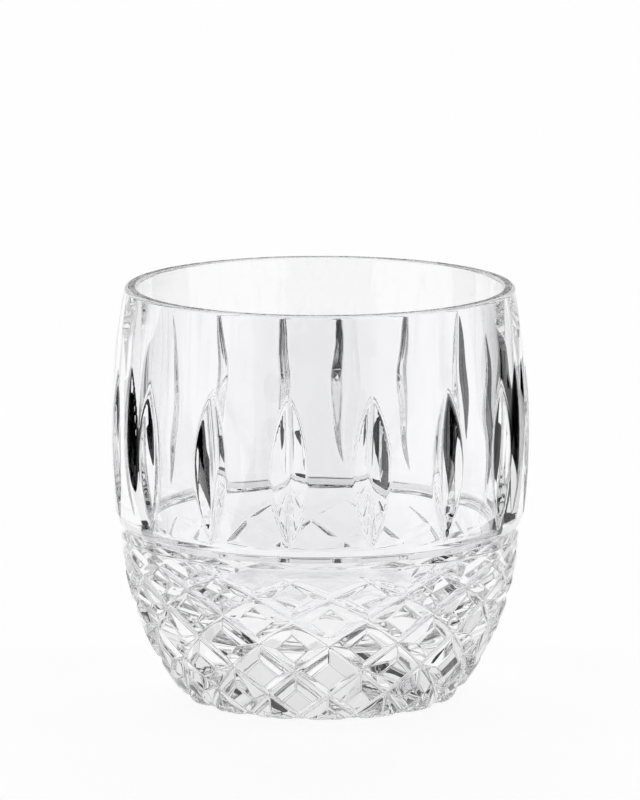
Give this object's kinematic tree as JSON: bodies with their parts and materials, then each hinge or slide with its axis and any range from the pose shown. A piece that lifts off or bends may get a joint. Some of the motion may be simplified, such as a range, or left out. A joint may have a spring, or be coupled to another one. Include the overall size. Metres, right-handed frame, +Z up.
{
  "type": "whisky tumbler",
  "caption": "Short barrel-shaped cut-crystal tumbler with a thick rounded base, upright wedge cuts round the barrel, a ring cut and a band of crossing diamond cuts below.",
  "frame": {"origin": "centre of the resting face, under the middle of the foot", "axes": "+Z up along the glass's axis; -Y through the middle of one upright cut and the top of one diamond"},
  "size_m": [0.0862, 0.0862, 0.0855],
  "materials": {
    "clear_lead_crystal": "clear lead crystal, hand cut and acid polished"
  },
  "bodies": {
    "root": {"cut_crystal_tumbler": "clear_lead_crystal"}
  },
  "joints": []
}
